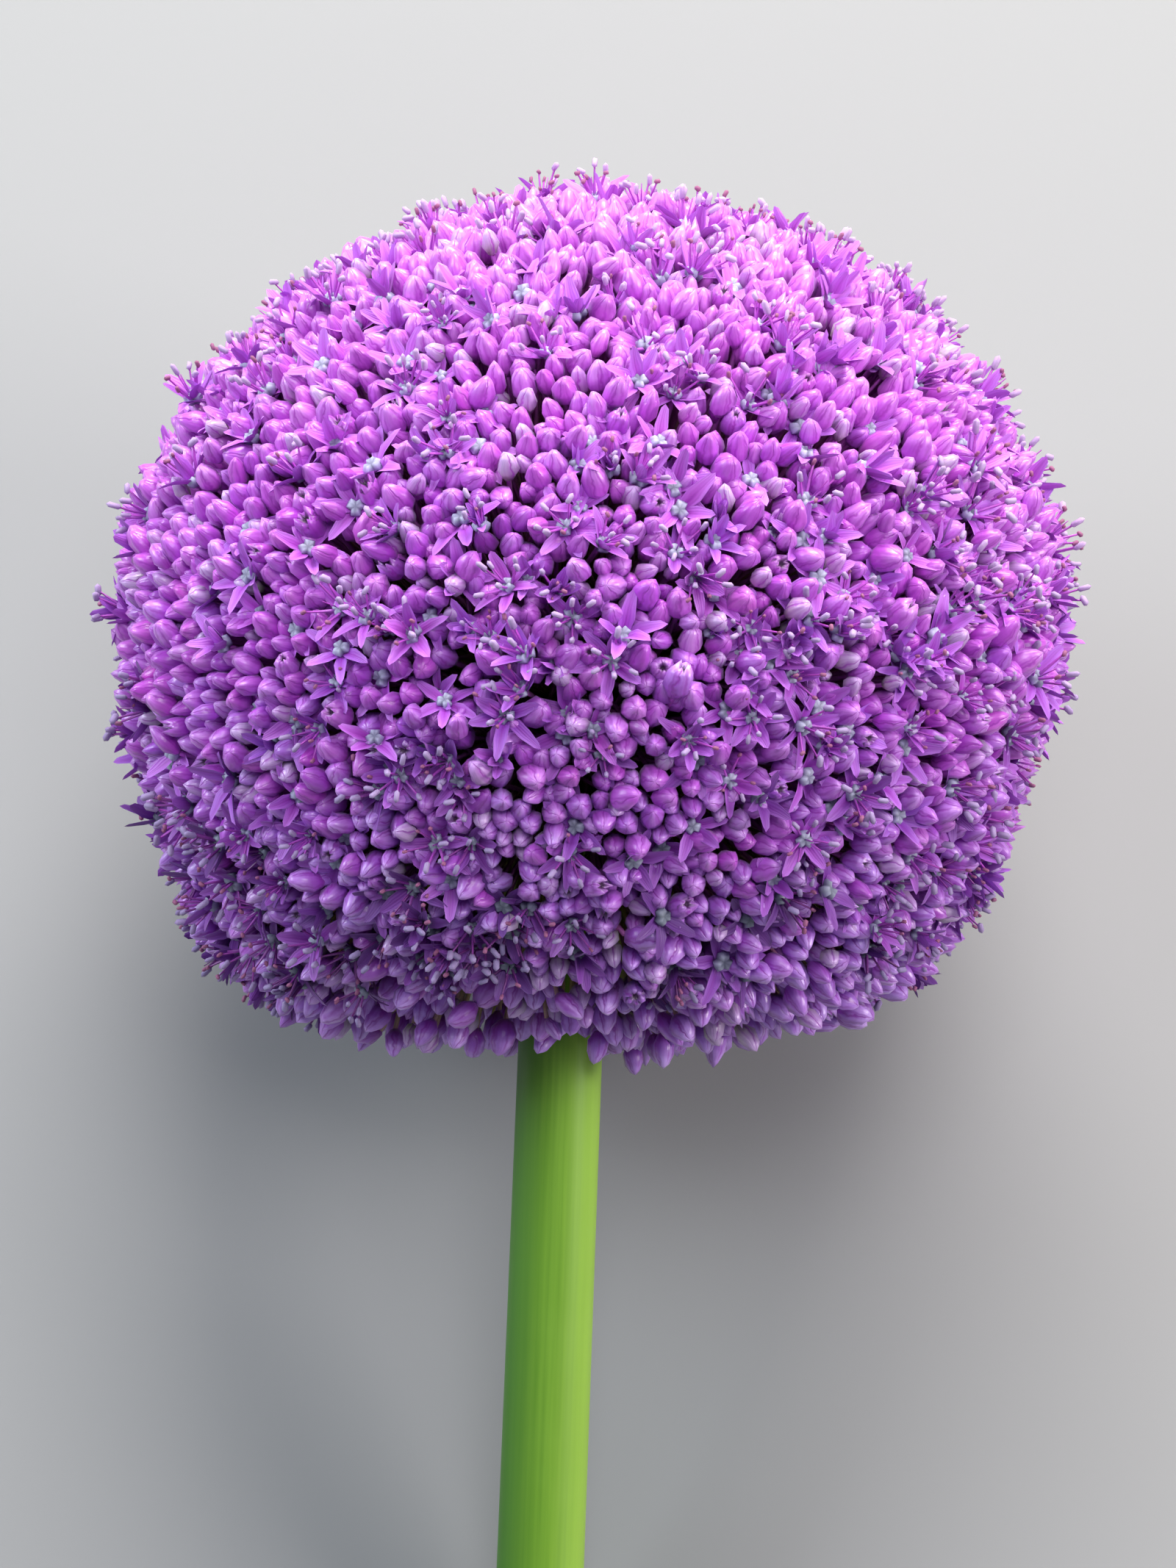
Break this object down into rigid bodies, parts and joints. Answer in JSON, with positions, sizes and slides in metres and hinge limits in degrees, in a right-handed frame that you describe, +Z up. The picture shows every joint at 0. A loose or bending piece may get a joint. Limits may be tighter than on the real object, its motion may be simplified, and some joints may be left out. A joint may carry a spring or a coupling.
{
  "type": "allium flower head",
  "caption": "Round purple allium flower head of buds and open star florets on a short green cut stem, lying on its side.",
  "frame": {"origin": "centre of the bottom of the lying flower's bounding box, on the surface that it lies on", "axes": "+Z up from the surface, +Y the way that the stem points into the head, seen from above, +X across the head"},
  "size_m": [0.1496, 0.2264, 0.1461],
  "materials": {
    "scape": "smooth satin green plant stem",
    "florets": "soft satin magenta-violet tepals with darker veins",
    "spathe": "dry and papery, straw to olive"
  },
  "bodies": {
    "root": {"scape": "scape", "floret_spray_01": "florets", "floret_spray_02": "florets", "floret_spray_03": "florets", "floret_spray_04": "florets", "floret_spray_05": "florets", "floret_spray_06": "florets", "floret_spray_07": "florets", "floret_spray_08": "florets", "floret_spray_09": "florets", "floret_spray_10": "florets", "floret_spray_11": "florets", "floret_spray_12": "florets", "floret_spray_13": "florets", "floret_spray_14": "florets", "floret_spray_15": "florets", "floret_spray_16": "florets", "floret_spray_17": "florets", "floret_spray_18": "florets", "floret_spray_19": "florets", "floret_spray_20": "florets", "floret_spray_21": "florets", "floret_spray_22": "florets", "floret_spray_23": "florets", "floret_spray_24": "florets", "floret_spray_25": "florets", "floret_spray_26": "florets", "floret_spray_27": "florets", "floret_spray_28": "florets", "floret_spray_29": "florets", "floret_spray_30": "florets", "floret_spray_31": "florets", "floret_spray_32": "florets", "floret_spray_33": "florets", "floret_spray_34": "florets", "floret_spray_35": "florets", "floret_spray_36": "florets", "floret_spray_37": "florets", "floret_spray_38": "florets", "floret_spray_39": "florets", "floret_spray_40": "florets", "floret_spray_41": "florets", "floret_spray_42": "florets", "floret_spray_43": "florets", "floret_spray_44": "florets", "spathe_valve_left": "spathe", "spathe_valve_right": "spathe"}
  },
  "joints": []
}
